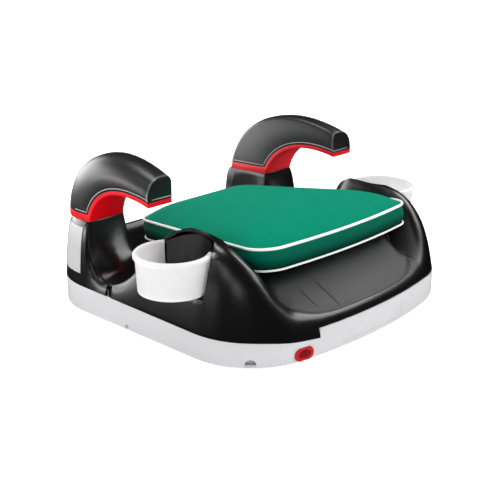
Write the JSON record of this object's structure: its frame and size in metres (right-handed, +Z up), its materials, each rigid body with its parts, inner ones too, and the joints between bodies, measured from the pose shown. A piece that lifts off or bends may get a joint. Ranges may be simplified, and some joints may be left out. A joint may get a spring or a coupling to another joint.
{
  "type": "booster seat",
  "caption": "Backless car booster seat: white tray, black moulded shell, horn armrests, green piped cushion, lift-off cup holders and a front push button.",
  "frame": {"origin": "on the floor under the middle of the seat", "axes": "+Z up, the child faces -Y, +X to the right seen from the front of the seat"},
  "size_m": [0.5176, 0.4177, 0.2217],
  "materials": {
    "white_plastic": "satin",
    "black_shell": "fine grain",
    "black_pad": "satin",
    "red_plastic": "satin",
    "red_button": "gloss",
    "green_fabric": "fine weave",
    "white_piping": "woven",
    "hook_tape": "looped",
    "rubber": "matte",
    "screw_steel": "plain"
  },
  "bodies": {
    "seat": {"base_tray": "white_plastic", "rubber_feet": "rubber", "base_screws": "screw_steel", "seat_shell": "black_shell", "niche_liner_left": "black_shell", "niche_liner_right": "black_shell", "armrest_core_left": "red_plastic", "armrest_core_right": "red_plastic", "armrest_pad_left": "black_pad", "armrest_pad_right": "black_pad", "armrest_screws": "screw_steel", "seat_cushion": "green_fabric", "cushion_piping_top": "white_piping", "cushion_piping_bottom": "white_piping", "cushion_tapes": "hook_tape", "button_spring": "screw_steel"},
    "cup_left": {"cup_holder_left": "white_plastic"},
    "cup_right": {"cup_holder_right": "white_plastic"},
    "button": {"push_button": "red_button", "button_clip": "screw_steel"}
  },
  "joints": [
    {"name": "cup_left_slide", "type": "slide", "parent": "seat", "child": "cup_left", "axis": [-1, 0, 0], "range_m": [0, 0.08]},
    {"name": "cup_right_slide", "type": "slide", "parent": "seat", "child": "cup_right", "axis": [1, 0, 0], "range_m": [0, 0.08]},
    {"name": "button_press", "type": "slide", "parent": "seat", "child": "button", "axis": [0.1811, 0.9835, 0], "range_m": [0, 0.004], "stiffness_N_per_m": 600, "deforming": ["button_spring"]}
  ]
}
